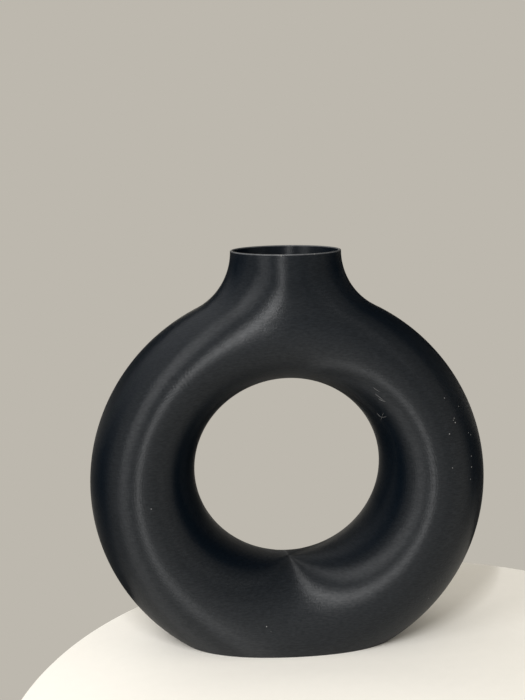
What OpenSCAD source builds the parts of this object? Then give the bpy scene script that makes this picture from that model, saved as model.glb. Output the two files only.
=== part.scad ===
// Ring vase with a round flared neck: one hollow printed shell, built up from the table
// in flat courses that are welded face to face. Front is -Y, the ring stands in the XZ plane.

/* [Ring] */
// Radius of the round outline that is seen from the front
ring_r = 100; // [94:1:106]
// How much of that outline the flat base cuts off
base_cut = 18; // [14:1:22]
// Depth of the ring from its front to its back
ring_depth = 67; // [62:1:84]
// Width of the ring's band beside the hole, from the hole to the outline
band_w = 52.5; // [49:0.5:64]
// How far the hole's centre lies above the outline's centre
hole_rise = 7; // [2:1:12]
// How far the ring's front and back ridges are raised from midway between those centres
ridge_rise = 1.75; // [0:0.25:3]

/* [Neck] */
// How far the rim stands above the top of the ring's outline
neck_rise = 18; // [10:1:48]
// Outer radius of the straight neck
neck_r = 27.2; // [22:0.1:30]
// Radius of the rounding where the neck flares into the ring
flare_r = 32; // [24:0.5:38]
// Height of the course that carries the straight neck, below the rim band
neck_h = 12; // [6:0.5:16]
// Height of the rim band, which is bored true inside
rim_h = 4; // [2:0.5:6]

/* [Shell] */
// Thickness of the printed wall
wall = 1.2; // [0.8:0.1:2.4]
// Thickness of the closed floor
floor_t = 1.6; // [0.8:0.1:3]
// How far the two arms reach past the hole's inner skin, to meet over and under it
arm_lap = 0.5; // [0.3:0.1:1]

/* [Fineness] */
// Points on a quarter of a course's outline
quarter_n = 13; // [8:1:20]
// Rows of points in each half of an arm
arm_rows = 12; // [8:1:15]
// Height of a row of points in the other shells
row_h = 3.6; // [2.5:0.1:6]
// Sides of the cylinder that bores the rim band
bore_n = 96; // [48:8:128]

/* [Hidden] */

plastic = "#1e2122";
// Overrun that lets a cut pass clean through the face it leaves by
overrun = 1;
// Halvings that settle a solved angle or share
halvings = 26;
// Points from the hole's side of an arm to the corner where its end turns level
corner_n = round(quarter_n / 4);

// The outline's and the hole's centre heights, the hole's radius and the height over all
ring_z = ring_r - base_cut;
hole_r = ring_r - band_w;
hole_z = ring_z + hole_rise;
vase_h = ring_z + ring_r + neck_rise;

// Heights of the flat joints between the courses
bowl_top_z = hole_z - hole_r - wall - arm_lap;
bowl_waist_z = (floor_t + bowl_top_z) / 2;
arm_top_z = hole_z + hole_r + wall + arm_lap;
arm_waist_z = (bowl_top_z + arm_top_z) / 2;
arch_top_z = (hole_z + hole_r + ring_z + ring_r) / 2;
rim_z = vase_h - rim_h;
neck_z = rim_z - neck_h;

// The ring is a family of circles, from the hole (share -1) to the outline (share 1).
// Each circle has its own centre height and radius, and its own place in the depth.
// A skin is a surface set in from the outside by an inset: 0 outside, the wall inside.
function circle_r(share, inset) =
    (ring_r + hole_r) / 2 + share * (ring_r - hole_r - 2 * inset) / 2;
function circle_z(share) =
    (ring_z + hole_z) / 2 + share * (ring_z - hole_z) / 2 + ridge_rise * (1 - share * share);
function half_depth(share, inset) =
    (ring_depth / 2 - inset) * sqrt(max(0, 1 - share * share));
function slice_x(share, z, inset) =
    sqrt(max(0, pow(circle_r(share, inset), 2) - pow(z - circle_z(share), 2)));

// Share of the circle that crosses the middle plane at a height, under the hole (way -1)
// or over it (way 1). The crossing's height is a quadratic in the share.
function share_at(z, inset, way) =
    let (slope = (ring_z - hole_z) / 2 + way * (ring_r - hole_r - 2 * inset) / 2,
         rise = z - (ring_z + hole_z) / 2 - way * (ring_r + hole_r) / 2 - ridge_rise)
    2 * rise / (slope + way * sqrt(slope * slope - 4 * ridge_rise * rise));
function share_under(z, inset) = share_at(z, inset, -1);
function share_over(z, inset) = share_at(z, inset, 1);

// Shares spread evenly round a quarter of an outline, from the middle plane to the side
function spread(first, turn) = 1 - (1 - first) * pow(cos(turn), 2);
turns = [for (i = [0:quarter_n]) 90 * i / quarter_n];

// A whole outline from its first quarter, which runs from the back (+Y) to the side (+X)
function last(list) = len(list) - 1;
function all_round(q) = concat(
    [for (i = [0:last(q) - 1]) q[i]],
    [for (i = [last(q):-1:1]) [q[i].x, -q[i].y, q[i].z]],
    [for (i = [0:last(q) - 1]) [-q[i].x, -q[i].y, q[i].z]],
    [for (i = [last(q):-1:1]) [-q[i].x, q[i].y, q[i].z]]);

// Outline of the bowl at a height, below the hole
function bowl_outline(z, inset) = all_round([
    for (turn = turns)
        let (share = spread(share_under(z, inset), turn))
        [turn == 0 ? 0 : slice_x(share, z, inset), half_depth(share, inset), z]]);

// A point of the right arm climbs its own circle, from a lower plane to a higher one. A
// circle that misses a plane stops in the middle plane, where the arms meet over and under
// the hole.
function angle_at(height, radius) = asin(max(-1, min(1, height / radius)));
function arm_point(turn, low_z, high_z, rise, inset) =
    let (share = -cos(turn),
         r = circle_r(share, inset),
         z = circle_z(share),
         low = angle_at(low_z - z, r),
         high = angle_at(high_z - z, r),
         angle = low + (high - low) * rise)
    [r * cos(angle), (ring_depth / 2 - inset) * sin(turn), z + r * sin(angle)];
// Outline of the arm at a share of the rise between two planes, from the hole's side round
// the back. Points are dealt out so that one stands where the arm's end turns from one
// plane to the other.
function arm_outline(low_z, high_z, rise, inset) =
    let (under = share_under(bowl_top_z, inset),
         over = share_over(arm_top_z, inset),
         up = (low_z + (high_z - low_z) * rise - bowl_top_z) / (arm_top_z - bowl_top_z),
         corner = acos(-under - (over - under) * up),
         side_n = 2 * quarter_n - corner_n,
         half = concat(
             [for (i = [0:corner_n - 1]) corner * i / corner_n],
             [for (i = [0:side_n]) corner + (180 - corner) * i / side_n]))
    concat(
        [for (turn = half) arm_point(turn, low_z, high_z, rise, inset)],
        [for (i = [last(half) - 1:-1:1]) arm_point(-half[i], low_z, high_z, rise, inset)]);

// The neck's flare is what a ball leaves as it rolls round the neck, touching both the
// neck and the ring. A touch is [share, angle, ball centre] for one turn of the outline.
function ring_point(share, angle, inset) = [
    circle_r(share, inset) * cos(angle),
    half_depth(share, inset),
    circle_z(share) + circle_r(share, inset) * sin(angle)];
function ring_normal(share, angle, inset) =
    let (deep = ring_depth / 2 - inset,
         lift = (ring_z - hole_z) / 2 - 2 * ridge_rise * share,
         thick = (ring_r - hole_r - 2 * inset) / 2 + lift * sin(angle),
         v = [deep * share * cos(angle),
              thick * sqrt(max(0, 1 - share * share)),
              deep * share * sin(angle)])
    v / norm(v);
function ball_centre(share, angle, inset) =
    ring_point(share, angle, inset) + (flare_r + inset) * ring_normal(share, angle, inset);
function ball_gap(share, angle, inset) =
    let (c = ball_centre(share, angle, inset)) norm([c.x, c.y]) - neck_r - flare_r;
// The ball touches the ring lower down at the sides than in the middle, so the share is
// solved in the middle plane, and the angle at every other turn
function middle_share(low, high, inset, n) =
    let (mid = (low + high) / 2)
    n == 0 ? mid
    : ball_gap(mid, 90, inset) > 0 ? middle_share(mid, high, inset, n - 1)
    : middle_share(low, mid, inset, n - 1);
function touch_angle(share, low, high, inset, n) =
    let (mid = (low + high) / 2)
    n == 0 ? mid
    : ball_gap(share, mid, inset) > 0 ? touch_angle(share, mid, high, inset, n - 1)
    : touch_angle(share, low, mid, inset, n - 1);
function touches(inset) =
    let (first = middle_share(0, 1, inset, halvings))
    [for (turn = turns)
        let (share = spread(first, turn),
             angle = turn == 0 ? 90 : touch_angle(share, 0, 90, inset, halvings))
        [share, angle, ball_centre(share, angle, inset)]];
outer_touches = touches(0);
inner_touches = touches(wall);

// A point of the upper shell on one turn of the outline: on the ring under the touch,
// on the ball between the ring and the neck, and on the straight neck above the ball
function on_ring(turn, z, touch, touch_z, inset) =
    let (low = spread(share_over(min(z, arch_top_z), inset), turn),
         rise = (z - arch_top_z) / (touch_z - arch_top_z),
         share = z <= arch_top_z ? low : low + (touch[0] - low) * rise)
    [turn == 0 ? 0 : slice_x(share, z, inset), half_depth(share, inset), z];
function on_ball(z, touch, foot, inset) =
    let (c = touch[2],
         inward = -[c.x, c.y, 0] / norm([c.x, c.y]),
         down = foot - c,
         across = down - (down * inward) * inward,
         side = across / norm(across),
         turned = asin(max(-1, min(1, (z - c.z) / ((flare_r + inset) * side.z)))))
    c + (flare_r + inset) * (cos(turned) * inward + sin(turned) * side);
function on_neck(z, touch, inset) =
    let (c = touch[2]) [c.x, c.y, 0] / norm([c.x, c.y]) * (neck_r - inset) + [0, 0, z];
function upper_point(i, z, inset) =
    let (touch = inset == 0 ? outer_touches[i] : inner_touches[i],
         foot = ring_point(touch[0], touch[1], inset))
    z <= foot.z ? on_ring(turns[i], z, touch, foot.z, inset)
    : z < touch[2].z ? on_ball(z, touch, foot, inset)
    : on_neck(z, touch, inset);
function upper_outline(z, inset) =
    all_round([for (i = [0:quarter_n]) upper_point(i, z, inset)]);

// Even heights from one joint to the next
function heights(low, high) =
    let (rows = ceil((high - low) / row_h))
    [for (i = [0:rows]) low + (high - low) * i / rows];

// Two triangles for a cell whose corners run clockwise as seen from above or from outside,
// turned over where the face looks down or into the hollow
function cell(a, b, c, d, turned) =
    turned ? [[a, c, b], [a, d, c]] : [[a, b, c], [a, c, d]];
// The cells between neighbouring outlines of n points each, from the first point's number
function band(rows, n, first, turned) = [
    for (row = [0:rows - 1], i = [0:n - 1])
        let (a = first + row * n + i, b = first + row * n + (i + 1) % n)
        each cell(a, b, b + n, a + n, turned)];
// The flat ring between the outer and the inner outline at one end
function end_face(n, outer, inner, turned) = [
    for (i = [0:n - 1])
        let (next = (i + 1) % n)
        each cell(outer + i, outer + next, inner + next, inner + i, turned)];

// A hollow course between its lowest and highest outline
module shell(outer, inner) {
    n = len(outer[0]);
    rows = last(outer);
    hollow = n * len(outer);
    polyhedron(
        points = concat([for (o = outer) each o], [for (o = inner) each o]),
        faces = concat(
            band(rows, n, 0, false),
            band(rows, n, hollow, true),
            end_face(n, 0, hollow, true),
            end_face(n, rows * n, hollow + rows * n, false)));
}

// A closed course, filled from side to side
module slab(outlines) {
    n = len(outlines[0]);
    rows = last(outlines);
    polyhedron(
        points = [for (o = outlines) each o],
        faces = concat(
            band(rows, n, 0, false),
            [[for (i = [n - 1:-1:0]) i]],
            [[for (i = [0:n - 1]) rows * n + i]]));
}

// Closed floor, the first layers on the printer's bed
module floor_plate() {
    color(plastic)
        slab([bowl_outline(0, 0), bowl_outline(floor_t, 0)]);
}

// Either course of the bowl under the hole, between two heights
module bowl_course(low, high) {
    zs = heights(low, high);
    color(plastic)
        shell([for (z = zs) bowl_outline(z, 0)], [for (z = zs) bowl_outline(z, wall)]);
}

// Bowl's first course, which rises steeply from the floor
module lower_bowl() {
    bowl_course(floor_t, bowl_waist_z);
}

// Bowl's second course, open along its top to both arms
module upper_bowl() {
    bowl_course(bowl_waist_z, bowl_top_z);
}

// Half of a hollow arm beside the hole, between two planes. At its foot or its top it
// closes half of the skin under or over the hole.
module arm_course(low_z, high_z) {
    rises = [for (i = [0:arm_rows]) i / arm_rows];
    color(plastic)
        shell([for (rise = rises) arm_outline(low_z, high_z, rise, 0)],
              [for (rise = rises) arm_outline(low_z, high_z, rise, wall)]);
}

module lower_right_arm() {
    arm_course(bowl_top_z, arm_waist_z);
}

module upper_right_arm() {
    arm_course(arm_waist_z, arm_top_z);
}

module lower_left_arm() {
    mirror([1, 0, 0])
        lower_right_arm();
}

module upper_left_arm() {
    mirror([1, 0, 0])
        upper_right_arm();
}

// Any course above the hole, between two heights
module upper_course(low, high) {
    zs = heights(low, high);
    shell([for (z = zs) upper_outline(z, 0)], [for (z = zs) upper_outline(z, wall)]);
}

// Bridge that joins the two arms over the hole
module upper_arch() {
    color(plastic)
        upper_course(arm_top_z, arch_top_z);
}

// Course in which the ring draws in to the neck
module shoulder() {
    color(plastic)
        upper_course(arch_top_z, neck_z);
}

// Straight neck below the rim band
module neck() {
    color(plastic)
        upper_course(neck_z, rim_z);
}

// Last layers at the mouth, bored to one true radius
module rim_band() {
    color(plastic)
        difference() {
            slab([for (z = heights(rim_z, vase_h)) upper_outline(z, 0)]);
            translate([0, 0, rim_z - overrun])
                cylinder(h = rim_h + 2 * overrun, r = neck_r - wall, $fn = bore_n);
        }
}

floor_plate();
lower_bowl();
upper_bowl();
lower_left_arm();
lower_right_arm();
upper_left_arm();
upper_right_arm();
upper_arch();
shoulder();
neck();
rim_band();
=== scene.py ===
# Ring vase with a short flared neck, printed in matte black PLA on a desktop printer.
# Metres, +Z up, front towards -Y. Each stretch of the print is a piece on its own node.
import math

import bmesh
import bpy
import numpy as np
from mathutils import Matrix, Vector


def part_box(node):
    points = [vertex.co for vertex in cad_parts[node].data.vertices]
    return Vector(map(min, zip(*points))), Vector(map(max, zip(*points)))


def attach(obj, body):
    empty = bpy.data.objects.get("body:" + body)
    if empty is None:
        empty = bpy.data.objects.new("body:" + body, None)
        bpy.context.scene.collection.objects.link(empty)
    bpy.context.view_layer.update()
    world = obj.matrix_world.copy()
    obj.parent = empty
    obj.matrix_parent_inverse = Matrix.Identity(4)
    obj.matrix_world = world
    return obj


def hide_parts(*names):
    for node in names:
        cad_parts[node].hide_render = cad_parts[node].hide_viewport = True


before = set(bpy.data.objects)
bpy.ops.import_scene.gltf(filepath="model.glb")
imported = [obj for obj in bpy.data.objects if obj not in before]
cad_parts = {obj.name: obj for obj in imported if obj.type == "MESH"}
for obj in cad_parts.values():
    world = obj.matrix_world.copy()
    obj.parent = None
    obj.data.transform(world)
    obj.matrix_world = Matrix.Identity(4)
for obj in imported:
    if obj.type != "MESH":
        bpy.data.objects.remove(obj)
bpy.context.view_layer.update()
mm = 0.001


# Floor plate
# The first layers of the print, laid flat on the printer's bed: solid black PLA, 1.6 mm
# thick, with the oval outline that the bed cuts from the ring.

# The ring, as seen from the front: a round outline and a round hole a little above its
# centre, swept between by circles. A turn runs round the ring's section from the hole's
# side (0) over the back (90 degrees) to the outline's side (180 degrees).
ring_r = 100 * mm
ring_z = 82 * mm
ring_depth = 67 * mm
hole_r = 47.5 * mm
hole_z = 89 * mm
ridge_rise = 1.75 * mm
wall = 1.2 * mm
floor_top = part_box("floor_plate")[1].z
mid_r, half_r = (ring_r + hole_r) / 2, (ring_r - hole_r) / 2
mid_z, half_z = (ring_z + hole_z) / 2, (ring_z - hole_z) / 2
# Columns of faces in a quarter of an outline
quarter_n = 60


def circle_at(turn, inset):
    """Radius and centre height of the circle that one turn of the section sweeps."""
    share = -np.cos(turn)
    height = mid_z + share * half_z + ridge_rise * (1 - share * share)
    return mid_r + share * (half_r - inset), height


def ring_skin(turn, angle, inset):
    """Points of a skin of the ring and their outward normals."""
    radius, height = circle_at(turn, inset)
    share, deep = -np.cos(turn), ring_depth / 2 - inset
    lift = half_z - 2 * ridge_rise * share
    thick = half_r - inset + lift * np.sin(angle)
    points = [radius * np.cos(angle), deep * np.sin(turn), height + radius * np.sin(angle)]
    normals = [deep * share * np.cos(angle), thick * np.sin(turn), deep * share * np.sin(angle)]
    return unit_and_stack(points, normals)


def unit_and_stack(points, normals):
    """Coordinates stacked into points, and normals brought to length one."""
    points, normals = np.stack(points, -1), np.stack(normals, -1)
    return points, normals / np.linalg.norm(normals, axis=-1, keepdims=True)


def angle_at(turn, z, inset):
    """Angle at which a circle passes a height, or its end in the middle plane if it misses."""
    radius, height = circle_at(turn, inset)
    return np.arcsin(np.clip((z - height) / radius, -1, 1))


def corner_turn(z, inset):
    """Turn whose circle just reaches a height in the middle plane, under or over the hole."""
    way = -1 if z < hole_z else 1
    slope = half_z + way * (half_r - inset)
    rise = z - mid_z - way * mid_r - ridge_rise
    share = 2 * rise / (slope + way * math.sqrt(slope * slope - 4 * ridge_rise * rise))
    return math.acos(-share)


def quarter_turns(corner, evenness=0.0):
    """Turns of a quarter outline, crowded towards the middle plane where it turns sharply."""
    part = np.linspace(0, 1, quarter_n + 1)
    crowded = 1 - np.cos(part * math.pi / 2)
    return corner + (math.pi - corner) * (crowded + (part - crowded) * evenness)


def all_round(quarter):
    """A whole outline from the quarter between the back and the right-hand side."""
    right, left = np.array([1, -1, 1]), np.array([-1, 1, 1])
    return np.concatenate([
        quarter[:, :-1],
        (quarter * right)[:, :0:-1],
        (quarter * right * left)[:, :-1],
        (quarter * left)[:, :0:-1]], 1)


def bowl_skin(heights, inset):
    """The ring's skin under the hole, one row for each height."""
    turns = np.array([quarter_turns(corner_turn(z, inset)) for z in heights])
    angles = angle_at(turns, np.array(heights)[:, None], inset)
    return [all_round(part) for part in ring_skin(turns, angles, inset)]


def band_faces(rows, columns, first, turned):
    """Four-sided faces between neighbouring rows of a closed band of points."""
    low = first + np.arange(rows - 1)[:, None] * columns + np.arange(columns)
    low_next = first + np.arange(rows - 1)[:, None] * columns + (np.arange(columns) + 1) % columns
    corners = [low, low + columns, low_next + columns, low_next]
    return np.stack(corners[::-1] if turned else corners, -1).reshape(-1, 4)


def end_faces(outer_first, inner_first, columns, turned):
    """The flat ring of faces between the outer and the inner skin at one end."""
    here, after = np.arange(columns), (np.arange(columns) + 1) % columns
    corners = [outer_first + here, outer_first + after, inner_first + after, inner_first + here]
    return np.stack(corners[::-1] if turned else corners, -1)


def strip_normals(corner_normals):
    """Normals that turn only up and down: each column of faces is a flat strip from side to side."""
    paired = corner_normals + corner_normals[:, [3, 2, 1, 0]]
    return paired / np.linalg.norm(paired, axis=2, keepdims=True)


def flat_normals(points, faces):
    """The plain normal of each face, once for each of its corners."""
    across = points[faces[:, 2]] - points[faces[:, 0]]
    normals = np.cross(across, points[faces[:, 3]] - points[faces[:, 1]])
    normals /= np.linalg.norm(normals, axis=1, keepdims=True)
    return np.repeat(normals, 4, 0)


def add_mesh(name, points, faces, normals, rings):
    """A mesh object with its own corner normals. Edges along the rings stay sharp."""
    mesh = bpy.data.meshes.new(name)
    mesh.from_pydata(points.tolist(), [], faces)
    ring_of = np.zeros(len(points), int)
    for number, (first, count) in enumerate(rings):
        ring_of[first:first + count] = number + 1
    ends = np.zeros(len(mesh.edges) * 2, int)
    mesh.edges.foreach_get("vertices", ends)
    ends = ring_of[ends.reshape(-1, 2)]
    mesh.edges.foreach_set("use_edge_sharp", (ends[:, 0] == ends[:, 1]) & (ends[:, 0] > 0))
    mesh.shade_smooth()
    mesh.normals_split_custom_set(normals.tolist())
    piece = bpy.data.objects.new(name, mesh)
    bpy.context.scene.collection.objects.link(piece)
    return piece


def add_shell(name, outer, inner):
    """A closed stretch of wall between an outer and an inner skin with the same rows."""
    rows, columns = outer[0].shape[:2]
    count = rows * columns
    points = np.concatenate([outer[0].reshape(-1, 3), inner[0].reshape(-1, 3)])
    normals = np.concatenate([outer[1].reshape(-1, 3), -inner[1].reshape(-1, 3)])
    sides = np.concatenate([band_faces(rows, columns, 0, False),
                            band_faces(rows, columns, count, True)])
    last = (rows - 1) * columns
    ends = np.concatenate([end_faces(0, count, columns, False),
                           end_faces(last, count + last, columns, True)])
    corner_normals = np.concatenate([strip_normals(normals[sides]).reshape(-1, 3),
                                     flat_normals(points, ends)])
    rings = [(first, columns) for first in (0, last, count, count + last)]
    faces = np.concatenate([sides, ends]).tolist()
    return add_mesh(name, points, faces, corner_normals, rings)


def linear(hex_colour):
    """An sRGB hex colour as linear light."""
    parts = [int(hex_colour[i:i + 2], 16) / 255 for i in (1, 3, 5)]
    return [c / 12.92 if c <= 0.04045 else ((c + 0.055) / 1.055) ** 2.4 for c in parts] + [1]


def add_node(tree, kind, settings, links):
    """A shader node with its settings, and its inputs given as values or as other sockets."""
    node = tree.nodes.new(kind)
    for key, value in settings.items():
        setattr(node, key, value)
    for key, value in links.items():
        if isinstance(value, bpy.types.NodeSocket):
            tree.links.new(value, node.inputs[key])
        else:
            node.inputs[key].default_value = value
    return node


def new_finish(name):
    """A new material, its node tree, its shader, and the place on the object in metres."""
    material = bpy.data.materials.new(name)
    material.use_nodes = True
    tree = material.node_tree
    place = add_node(tree, "ShaderNodeTexCoord", {}, {}).outputs["Object"]
    return material, tree, tree.nodes["Principled BSDF"], place


def flow_noise(tree, place, length, height, detail):
    """Noise stretched along the layers, its patches of a given length and height."""
    stretched = add_node(tree, "ShaderNodeVectorMath", {"operation": "MULTIPLY"},
                         {0: place, 1: (1 / length, 1 / length, 1 / height)}).outputs[0]
    return add_node(tree, "ShaderNodeTexNoise", {}, {
        "Vector": stretched, "Scale": 1.0, "Detail": detail, "Roughness": 0.6}).outputs["Fac"]


# PLA, fused deposition print: black, almost without gloss. Each layer is a rounded bead, so
# light is thrown into an upright fan and every lamp draws a long thin stripe that stays on
# one bearing of the wall. Layers are 0.2 mm, too fine for the render: the fan comes from
# the anisotropy, and the beads are drawn three to a ridge.
layer_h = 0.2 * mm
ridge_h = 3 * layer_h
pla_ior = 1.46
# Uneven flow of the nozzle: short dents along the beads, and streaks where a lap came out
# shinier or duller. Both are drawn three layers high, to show in the render.
dent_length, dent_h, dent_depth = 0.8 * mm, 3 * layer_h, 0.12 * mm
streak_length, streak_h = 2.4 * mm, 3 * layer_h
# Distance from the hole's edge in which its drooping strands give way to plain wall
droop_from, droop_to = 6.5 * mm, 18.5 * mm
# Heights between which the laps shorten from the ring's to the neck's
neck_laps_from, neck_laps_to = 172 * mm, 188 * mm
# Upward part of the normal where the wall is dullest: it leans back a little from upright
dullest_lean = 0.12
smooth = {"interpolation_type": "SMOOTHSTEP"}


def up_the_wall(tree, normal):
    """The direction that climbs the wall most steeply, square to the layers."""
    level = add_node(tree, "ShaderNodeVectorMath", {"operation": "CROSS_PRODUCT"},
                     {0: normal, 1: (0, 0, 1)}).outputs[0]
    upward = add_node(tree, "ShaderNodeVectorMath", {"operation": "CROSS_PRODUCT"},
                      {0: level, 1: normal}).outputs[0]
    return add_node(tree, "ShaderNodeVectorMath", {"operation": "NORMALIZE"},
                    {0: upward}).outputs[0]


def gloss_at_an_angle(tree, place, normal):
    """Gloss that is left where the wall is seen at a shallow angle.

    Steep walls lose nearly all of it. Flatter ones, which show the layers' steps, keep it, and
    keep more where they overhang. Beside the hole, where strands droop, only the flattest do.
    """
    lean = add_node(tree, "ShaderNodeSeparateXYZ", {}, {0: normal}).outputs["Z"]
    slope = add_node(tree, "ShaderNodeMath", {"operation": "ABSOLUTE"}, {0: lean}).outputs[0]
    by_hole = add_node(tree, "ShaderNodeMapRange", smooth, {
        "Value": slope, "From Min": 0.3, "From Max": 0.9,
        "To Min": 0.03, "To Max": 0.45}).outputs["Result"]
    lean = add_node(tree, "ShaderNodeMath", {"operation": "SUBTRACT"},
                    {0: lean, 1: dullest_lean}).outputs[0]
    lean = add_node(tree, "ShaderNodeMath", {"operation": "ABSOLUTE"}, {0: lean}).outputs[0]
    outside = add_node(tree, "ShaderNodeMapRange", smooth, {
        "Value": lean, "From Min": 0.05, "From Max": 0.45,
        "To Min": 0.04, "To Max": 0.5}).outputs["Result"]
    from_axis = add_node(tree, "ShaderNodeVectorMath", {"operation": "SUBTRACT"},
                         {0: place, 1: (0, 0, hole_z)}).outputs[0]
    from_axis = add_node(tree, "ShaderNodeVectorMath", {"operation": "MULTIPLY"},
                         {0: from_axis, 1: (1, 0, 1)}).outputs[0]
    from_axis = add_node(tree, "ShaderNodeVectorMath", {"operation": "LENGTH"},
                         {0: from_axis}).outputs["Value"]
    return add_node(tree, "ShaderNodeMapRange", smooth, {
        "Value": from_axis, "From Min": hole_r + droop_from, "From Max": hole_r + droop_to,
        "To Min": by_hole, "To Max": outside}).outputs["Result"]


def printed_pla():
    material, tree, shader, place = new_finish("matte_black_pla_print")
    normal = add_node(tree, "ShaderNodeNewGeometry", {}, {}).outputs["Normal"]
    height = add_node(tree, "ShaderNodeSeparateXYZ", {}, {0: place}).outputs["Z"]
    ridge = add_node(tree, "ShaderNodeMath", {"operation": "PINGPONG"},
                     {0: height, 1: ridge_h / 2}).outputs[0]
    ridges = add_node(tree, "ShaderNodeBump", {}, {
        "Strength": 0.10, "Distance": 1.0, "Height": ridge}).outputs["Normal"]
    dents = flow_noise(tree, place, dent_length, dent_h, 2.0)
    streaks = flow_noise(tree, place, streak_length, streak_h, 1.0)
    bumps = add_node(tree, "ShaderNodeBump", {}, {
        "Strength": 0.5, "Distance": dent_depth, "Height": dents, "Normal": ridges}).outputs["Normal"]
    colour = add_node(tree, "ShaderNodeMix", {"data_type": "RGBA"}, {
        "Factor": streaks, "A": linear("#060b11"), "B": linear("#0a121a")})
    rough = add_node(tree, "ShaderNodeMapRange", {}, {
        "Value": dents, "To Min": 0.39, "To Max": 0.45}).outputs["Result"]
    facing = add_node(tree, "ShaderNodeLayerWeight", {}, {"Blend": 0.5}).outputs["Facing"]
    gloss = add_node(tree, "ShaderNodeMapRange", smooth, {
        "Value": facing, "From Min": 0.22, "From Max": 0.5,
        "To Min": 0.47, "To Max": gloss_at_an_angle(tree, place, normal)}).outputs["Result"]
    # The neck's short laps cooled less between layers and came out duller
    dull = add_node(tree, "ShaderNodeMapRange", smooth, {
        "Value": height, "From Min": neck_laps_from, "From Max": neck_laps_to,
        "To Min": 1.0, "To Max": 0.72}).outputs["Result"]
    shine = add_node(tree, "ShaderNodeMapRange", {}, {
        "Value": streaks, "From Min": 0.3, "From Max": 0.7,
        "To Min": 0.84, "To Max": 1.16}).outputs["Result"]
    gloss = add_node(tree, "ShaderNodeMath", {"operation": "MULTIPLY"}, {0: gloss, 1: dull}).outputs[0]
    gloss = add_node(tree, "ShaderNodeMath", {"operation": "MULTIPLY"}, {0: gloss, 1: shine}).outputs[0]
    tree.links.new(colour.outputs["Result"], shader.inputs["Base Color"])
    tree.links.new(rough, shader.inputs["Roughness"])
    tree.links.new(bumps, shader.inputs["Normal"])
    tree.links.new(up_the_wall(tree, normal), shader.inputs["Tangent"])
    tree.links.new(gloss, shader.inputs["Specular IOR Level"])
    shader.inputs["IOR"].default_value = pla_ior
    shader.inputs["Anisotropic"].default_value = 1.0
    return material


black_pla = printed_pla()


def finish_piece(piece, node):
    """The finish of the print, and the node that the piece stands for."""
    piece.data.materials.append(black_pla)
    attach(piece, "root")
    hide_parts(node)


def floor_mesh(name):
    """The solid plate between the ring's outlines at the bed and at the floor's top."""
    outline, normals = bowl_skin([0, floor_top], 0)
    columns = outline.shape[1]
    points = outline.reshape(-1, 3)
    sides = band_faces(2, columns, 0, False)
    under, over = list(range(columns)), list(range(2 * columns - 1, columns - 1, -1))
    flat = np.array([[0, 0, -1]] * columns + [[0, 0, 1]] * columns)
    corner_normals = np.concatenate([normals.reshape(-1, 3)[sides].reshape(-1, 3), flat])
    return add_mesh(name, points, sides.tolist() + [under, over], corner_normals,
                    [(0, columns), (columns, columns)])


finish_piece(floor_mesh("floor_plate_print"), "floor_plate")


# Bowl
# The trough under the hole, black PLA printed on the floor plate in two courses. Its wall
# is three lines of plastic thick and leans outwards as it rises.
row_h = 1.5 * mm


def heights_between(low, high):
    """Heights of the rows of faces in a course."""
    return list(np.linspace(low, high, max(2, round((high - low) / row_h) + 1)))


for node in ("lower_bowl", "upper_bowl"):
    low, high = (corner.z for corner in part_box(node))
    heights = heights_between(low, high)
    finish_piece(add_shell(node + "_print", bowl_skin(heights, 0), bowl_skin(heights, wall)), node)


# Arms
# The two hollow arms beside the hole, black PLA, each in a lower and an upper course. They
# meet in the middle plane, where each closes half of the skin under and over the hole.
foot_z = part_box("lower_right_arm")[0].z
top_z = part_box("upper_right_arm")[1].z
# Columns of faces on the hole's side of a half arm, and rows in a course
inner_side_n = 40
arm_rows = 36


def arm_skin(low_z, high_z, inset):
    """The right arm's skin between two planes, from the hole's side round the back."""
    corners = [corner_turn(foot_z, inset), corner_turn(top_z, inset)]
    turns, angles = [], []
    for rise in np.linspace(0, 1, arm_rows + 1):
        up = (low_z + (high_z - low_z) * rise - foot_z) / (top_z - foot_z)
        corner = corners[0] + (corners[1] - corners[0]) * up
        beside = quarter_turns(corner, math.sin(math.pi * up))
        turn = np.concatenate([np.linspace(0, corner, inner_side_n, endpoint=False), beside])
        turn = np.concatenate([turn, -turn[-2:0:-1]])
        low, high = angle_at(turn, low_z, inset), angle_at(turn, high_z, inset)
        turns.append(turn)
        angles.append(low + (high - low) * rise)
    return ring_skin(np.array(turns), np.array(angles), inset)


def mirrored(skin):
    """The same skin on the other side of the middle plane, its columns run the other way."""
    return [(part * np.array([-1, 1, 1]))[:, ::-1] for part in skin]


for course in ("lower", "upper"):
    low, high = (corner.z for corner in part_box(course + "_right_arm"))
    skins = arm_skin(low, high, 0), arm_skin(low, high, wall)
    for side, pair in (("right", skins), ("left", [mirrored(skin) for skin in skins])):
        node = f"{course}_{side}_arm"
        finish_piece(add_shell(node + "_print", *pair), node)


# Arch and shoulder
# The bridge over the hole and the course above it, black PLA, where the ring draws in to
# the neck. The flare is what a ball leaves as it rolls round the neck against the ring.
neck_r = 27.2 * mm
flare_r = 32 * mm
arch_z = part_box("upper_arch")[1].z
halvings = 50


def halved(low, high, is_low):
    """Halves the way to the place where a test stops holding."""
    for _ in range(halvings):
        middle = (low + high) / 2
        low, high = np.where(is_low(middle), middle, low), np.where(is_low(middle), high, middle)
    return (low + high) / 2


def touches(inset):
    """For each column: the turn and angle at which the ball touches the ring, and its centre."""
    def ball(turn, angle):
        points, normals = ring_skin(turn, angle, inset)
        return points + (flare_r + inset) * normals

    def is_outside(turn, angle):
        centre = ball(turn, angle)
        return np.hypot(centre[..., 0], centre[..., 1]) > neck_r + flare_r

    upright = np.float64(math.pi / 2)
    first = halved(upright, np.float64(math.pi), lambda turn: is_outside(turn, upright))
    turn = quarter_turns(float(first))
    angle = halved(np.zeros_like(turn), np.full_like(turn, upright), lambda a: is_outside(turn, a))
    angle[0] = upright
    return turn, angle, ball(turn, angle)


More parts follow.
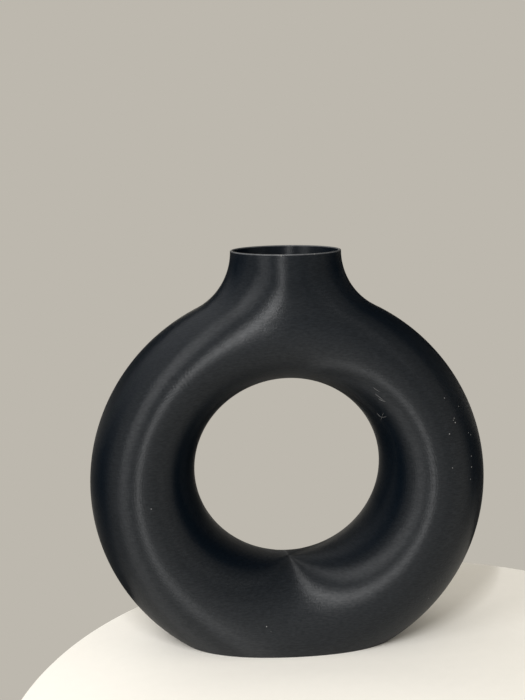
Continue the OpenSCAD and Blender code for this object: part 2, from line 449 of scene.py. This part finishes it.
def upper_skin(heights, inset):
    """The skin above the hole: on the ring, then on the ball, then on the straight neck."""
    turn, angle, centre = touches(inset)
    foot = ring_skin(turn, angle, inset)[0]
    inward = -centre * np.array([1, 1, 0])
    inward /= np.linalg.norm(inward, axis=1, keepdims=True)
    down = foot - centre
    side = down - (down * inward).sum(1, keepdims=True) * inward
    side /= np.linalg.norm(side, axis=1, keepdims=True)
    radius = flare_r + inset
    rows = []
    for z in heights:
        low = -np.cos(quarter_turns(corner_turn(min(z, arch_z), inset)))
        rise = np.clip((z - arch_z) / (foot[:, 2] - arch_z), 0, 1)
        ring_turn = np.arccos(np.clip(-low - (-np.cos(turn) - low) * rise, -1, 1))
        points, normals = ring_skin(ring_turn, angle_at(ring_turn, z, inset), inset)
        swung = np.arcsin(np.clip((z - centre[:, 2]) / (radius * side[:, 2]), -1, 1))[:, None]
        swung = np.where(z < centre[:, 2:], swung, 0)
        spoke = np.cos(swung) * inward + np.sin(swung) * side
        on_ball = centre + radius * spoke
        on_ball[:, 2] = z
        above = z > foot[:, 2:]
        rows.append([np.where(above, on_ball, points), np.where(above, -spoke, normals)])
    return [all_round(np.stack(part)) for part in zip(*rows)]


for node in ("upper_arch", "shoulder"):
    low, high = (corner.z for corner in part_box(node))
    heights = heights_between(low, high)
    finish_piece(add_shell(node + "_print", upper_skin(heights, 0), upper_skin(heights, wall)), node)


# Neck and rim band
# The straight neck with its last layers, black PLA. The nozzle's last lap leaves a rounded
# bead for a lip, with no layer over it. The bead's top carries a painted highlight in mid grey.
lip_rounding = 0.5 * mm
lip_steps = 6
bead_patch = 2.0 * mm

low, high = (corner.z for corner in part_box("neck"))
heights = heights_between(low, high)
finish_piece(add_shell("neck_print", upper_skin(heights, 0), upper_skin(heights, wall)), "neck")


def lip_skin(low, high, inset, way):
    """The rim band's skin, whose last rows turn over the lip's edge, inwards or outwards."""
    heights = heights_between(low, high - lip_rounding)
    points, normals = upper_skin(heights, inset)
    for swing in np.linspace(0, math.pi / 2, lip_steps + 1)[1:]:
        out = normals[len(heights) - 1] * np.array([1, 1, 0])
        out /= np.linalg.norm(out, axis=1, keepdims=True)
        moved = points[len(heights) - 1] - way * lip_rounding * (1 - math.cos(swing)) * out
        moved[:, 2] = high - lip_rounding + lip_rounding * math.sin(swing)
        tilted = math.cos(swing) * out + way * math.sin(swing) * np.array([0, 0, 1])
        points = np.concatenate([points, moved[None]])
        normals = np.concatenate([normals, tilted[None]])
    return points, normals


def lip_painted_highlight():
    # A single bare bead of black PLA, smooth along its whole length. Its mid grey colour is a
    # painted highlight: the thin pale line that light from behind draws on it, with the small
    # unevenness of the nozzle's flow
    material, tree, shader, place = new_finish("black_pla_lip_painted_highlight")
    uneven = flow_noise(tree, place, bead_patch, bead_patch, 1.0)
    colour = add_node(tree, "ShaderNodeMix", {"data_type": "RGBA"}, {
        "Factor": uneven, "A": linear("#34363a"), "B": linear("#5c5e61")})
    rough = add_node(tree, "ShaderNodeMapRange", {}, {
        "Value": uneven, "To Min": 0.25, "To Max": 0.4}).outputs["Result"]
    tree.links.new(colour.outputs["Result"], shader.inputs["Base Color"])
    tree.links.new(rough, shader.inputs["Roughness"])
    shader.inputs["IOR"].default_value = pla_ior
    return material


low, high = (corner.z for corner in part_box("rim_band"))
rim = add_shell("rim_band_print", lip_skin(low, high, 0, 1), lip_skin(low, high, wall, -1))
finish_piece(rim, "rim_band")
rim.data.materials.append(lip_painted_highlight())
# The faces over the lip's rounding take the mid grey of the painted highlight
for face in rim.data.polygons:
    if face.center.z > high - lip_rounding:
        face.material_index = 1


# Hairs and specks
# Fine hairs of PLA that the nozzle drew after it beside the hole, specks where it stopped,
# and two blobs on the lip. All are fused to the skin and pale grey in patches: the hairs
# where they stretched, the specks and blobs alike.
hair_r = 0.08 * mm
hair_lift = 0.25 * mm
hair_steps = 8
# A hair's radius at its ends, as a share of its middle's
hair_end_share = 0.4
speck_r = 0.36 * mm
# How far a speck's centre lies under the skin, and by how much specks differ, as shares of
# their radius. A sine spreads their sizes: it moves on by the beat, in radians, at each speck.
speck_sunk_share = 0.65
speck_spread_share = 0.25
speck_beat = 5
pale_patch = 0.8 * mm
# Turn and angle on the ring's skin, in degrees, of each hair's two ends and of each speck
hair_ends = [
    ((-62, 51), (-63, 47.5)), ((-57, 48), (-59, 42.5)), ((-55, 45), (-59, 42)),
    ((-38.5, 37.5), (-40, 34.5)), ((-40, 34.5), (-47, 34.5)), ((-47, 37), (-35.5, 32.5))]
speck_places = [
    (-117, 31.5), (-130, 26.5), (-114, 23.5), (-116, 24), (-115, 22.5), (-132, 16.5), (-129, 17.5),
    (-125, 10), (-123, 6.5), (-103, 19.5), (-98, 7), (-120, 2.5), (-124.5, -40.5), (-78.5, -174),
    (-83, -101.5), (-87, -99.5)]
# Bearing from the front and radius of each blob on the lip's outer edge. Its centre lies under
# the wall's outer face by this share of its radius.
blobs = [(-9, 0.5 * mm), (25, 0.3 * mm)]
blob_sunk_share = 0.25


def skin_place(turn, angle, proud):
    """A point that stands proud of the ring's outer skin, or lies under it."""
    point, normal = ring_skin(np.radians(turn), np.radians(angle), 0)
    return point + proud * normal


def pale_flaw_pla():
    # Stretched thin, black PLA turns a dull mid grey, as the hairs do; the specks and blobs take the
    # same grey
    material, tree, shader, place = new_finish("pale_flaw_pla")
    patches = flow_noise(tree, place, pale_patch, pale_patch, 1.0)
    colour = add_node(tree, "ShaderNodeMix", {"data_type": "RGBA"}, {
        "Factor": patches, "A": linear("#3c3d3f"), "B": linear("#909090")})
    tree.links.new(colour.outputs["Result"], shader.inputs["Base Color"])
    shader.inputs["Roughness"].default_value = 0.55
    return material


def finish_flaw(piece):
    """The finish of a flaw, which is part of the print."""
    piece.data.materials.append(pale_pla)
    bpy.context.scene.collection.objects.link(piece)
    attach(piece, "root")


pale_pla = pale_flaw_pla()
hair_lines = bpy.data.curves.new("drawn_hairs", "CURVE")
hair_lines.dimensions = "3D"
hair_lines.bevel_depth = hair_r
hair_lines.bevel_resolution = 1
hair_lines.use_fill_caps = True
for start, end in hair_ends:
    line = hair_lines.splines.new("POLY")
    line.points.add(hair_steps)
    for step, point in enumerate(line.points):
        share = step / hair_steps
        bow = math.sin(math.pi * share)
        turn, angle = (a + (b - a) * share for a, b in zip(start, end))
        point.co = (*skin_place(turn, angle, hair_lift * bow), 1)
        point.radius = hair_end_share + (1 - hair_end_share) * bow
finish_flaw(bpy.data.objects.new("drawn_hairs", hair_lines))

specks = bmesh.new()
for number, (turn, angle) in enumerate(speck_places):
    radius = speck_r * (1 + speck_spread_share * math.sin(speck_beat * number))
    centre = Vector(skin_place(turn, angle, -speck_sunk_share * radius))
    # On the ring's front ridge a speck lies lower, so that none reaches past its depth
    centre.y = max(centre.y, radius - ring_depth / 2)
    bmesh.ops.create_icosphere(specks, subdivisions=2, radius=radius, matrix=Matrix.Translation(centre))
for bearing, radius in blobs:
    turn, reach = math.radians(bearing), neck_r - blob_sunk_share * radius
    centre = (reach * math.sin(turn), -reach * math.cos(turn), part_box("rim_band")[1].z - radius)
    bmesh.ops.create_icosphere(specks, subdivisions=2, radius=radius, matrix=Matrix.Translation(centre))
speck_mesh = bpy.data.meshes.new("specks")
specks.to_mesh(speck_mesh)
speck_mesh.shade_smooth()
finish_flaw(bpy.data.objects.new("specks", speck_mesh))


# Floor and backdrop
# A plain pale round slab, painted matt, in front of an even backdrop of a darker pale grey.
floor_middle = (50 * mm, -89 * mm, 0)
floor_r = 183 * mm
floor_t = 18 * mm
floor_bevel = 1.5 * mm
rim_n = 192
mottle_patch = 6 * mm
backdrop = linear("#bdb8ae")


def pale_floor():
    # Matt paint: hardly any gloss, with the faint mottling that a roller leaves
    material, tree, shader, place = new_finish("pale_floor_paint")
    mottling = flow_noise(tree, place, mottle_patch, mottle_patch, 2.0)
    colour = add_node(tree, "ShaderNodeMix", {"data_type": "RGBA"}, {
        "Factor": mottling, "A": linear("#f8f5ee"), "B": linear("#fcf9f2")})
    tree.links.new(colour.outputs["Result"], shader.inputs["Base Color"])
    shader.inputs["Roughness"].default_value = 0.8
    return material


round_the_rim = np.linspace(0, 2 * math.pi, rim_n, endpoint=False)
profile = [(floor_r - floor_bevel, 0), (floor_r, -floor_bevel),
           (floor_r, floor_bevel - floor_t), (floor_r - floor_bevel, -floor_t)]
floor_rows = np.array([
    np.stack([r * np.cos(round_the_rim), r * np.sin(round_the_rim), z + 0 * round_the_rim], -1)
    for r, z in profile]) + floor_middle
floor_points = floor_rows.reshape(-1, 3)
floor_sides = band_faces(len(profile), rim_n, 0, False)
top, under = list(range(rim_n)), list(range(len(floor_points)))[:-rim_n - 1:-1]
flat = np.array([[0, 0, 1]] * rim_n + [[0, 0, -1]] * rim_n)
floor = add_mesh("floor", floor_points, floor_sides.tolist() + [top, under],
                 np.concatenate([flat_normals(floor_points, floor_sides), flat]), [])
floor.data.materials.append(pale_floor())

world = bpy.data.worlds.new("studio")
world.use_nodes = True
world.node_tree.nodes["Background"].inputs["Color"].default_value = backdrop
world.node_tree.nodes["Background"].inputs["Strength"].default_value = 1.0
bpy.context.scene.world = world


# Black flags
# Curved black panels behind the vase on both sides, as a photographer stands them to draw
# dark edges on a black object, with a gap just below the horizon. Only reflections show them.
flag_r = 1.2
flag_steps = 12
black_card = bpy.data.materials.new("black_card")
black_card.use_nodes = True
black_card.node_tree.nodes["Principled BSDF"].inputs["Base Color"].default_value = linear("#050505")
black_card.node_tree.nodes["Principled BSDF"].inputs["Roughness"].default_value = 1.0

# Each panel's first and last bearing from the front in degrees, and its foot and top in metres
for name, start, end, flag_foot, flag_top in (
        ("right_flag", 88, 172, 0, 2.2), ("low_right_flag", 118, 165, -1.0, -0.2),
        ("left_flag", -91, -172, 0, 2.2), ("low_left_flag", -91, -172, -1.0, -0.4)):
    bearings = np.radians(np.linspace(start, end, flag_steps + 1))
    way = np.stack([np.sin(bearings), -np.cos(bearings)], -1) * flag_r
    flag_points = np.concatenate([np.insert(way, 2, z, axis=1) for z in (flag_foot, flag_top)])
    flag_faces = [[i, i + 1, i + 2 + flag_steps, i + 1 + flag_steps] for i in range(flag_steps)]
    flag_mesh = bpy.data.meshes.new(name)
    flag_mesh.from_pydata(flag_points.tolist(), [], flag_faces)
    flag_mesh.materials.append(black_card)
    flag = bpy.data.objects.new(name, flag_mesh)
    flag.visible_camera = flag.visible_diffuse = flag.visible_shadow = False
    bpy.context.scene.collection.objects.link(flag)


# Lamps
# Two narrow strips, which draw the thin stripes on the print, and three soft panels. Each is
# placed by its bearing from the front and its rise, in degrees, and by its distance.
aim = Vector((0, 0, 100 * mm))


def add_lamp(name, bearing, rise, distance, width, length, power):
    """A soft lamp that faces the vase's middle."""
    lamp = bpy.data.lights.new(name, "AREA")
    lamp.shape = "RECTANGLE"
    lamp.size, lamp.size_y = width, length
    lamp.energy = power
    turn, up = math.radians(bearing), math.radians(rise)
    way = Vector((math.sin(turn) * math.cos(up), -math.cos(turn) * math.cos(up), math.sin(up)))
    holder = bpy.data.objects.new(name, lamp)
    holder.location = aim + distance * way
    holder.rotation_euler = way.to_track_quat("Z", "Y").to_euler()
    holder.visible_camera = False
    bpy.context.scene.collection.objects.link(holder)


add_lamp("strip_lamp", bearing=-13.6, rise=40, distance=0.80, width=0.02, length=0.30, power=3.0)
add_lamp("soft_box", bearing=-50.5, rise=30, distance=1.10, width=0.42, length=0.24, power=4.2)
add_lamp("left_panel", bearing=-120, rise=46, distance=0.80, width=1.00, length=0.50, power=1.3)
add_lamp("right_strip", bearing=55, rise=38, distance=0.90, width=0.03, length=0.30, power=0.13)
add_lamp("low_panel", bearing=-5, rise=2, distance=0.67, width=0.70, length=0.30, power=0.5)


# Camera
# At the photograph's angle, worked out from the vase's outline in a frame 525 by 700 pixels:
# it looks a little down on the vase, from a little to the left of its front.
frame_height = 700
focal_pixels = 1014.7
distance = 506.57 * mm
pitch, roll, yaw = (math.radians(a) for a in (10.533, -0.876, 3.455))
# The point in the ring's plane at which the camera looks, before the yaw swings both round
# the vase's axis
look_x, look_z = -11.962 * mm, 150.055 * mm

forward = Vector((0, math.cos(pitch), -math.sin(pitch)))
right = Vector((1, 0, 0))
upward = right.cross(forward)
rolled_right = right * math.cos(roll) + upward * math.sin(roll)
rolled_up = upward * math.cos(roll) - right * math.sin(roll)
turned = Matrix.Rotation(-yaw, 3, "Z")
axes = Matrix((rolled_right, rolled_up, -forward)).transposed()
eye = turned @ (Vector((look_x, 0, look_z)) - forward * distance)
lens = bpy.data.cameras.new("camera")
lens.sensor_fit = "VERTICAL"
lens.sensor_height = 24
lens.lens = lens.sensor_height * focal_pixels / frame_height
camera = bpy.data.objects.new("camera", lens)
camera.matrix_world = Matrix.Translation(eye) @ (turned @ axes).to_4x4()
bpy.context.scene.collection.objects.link(camera)
bpy.context.scene.camera = camera
bpy.context.scene.view_settings.view_transform = "Standard"
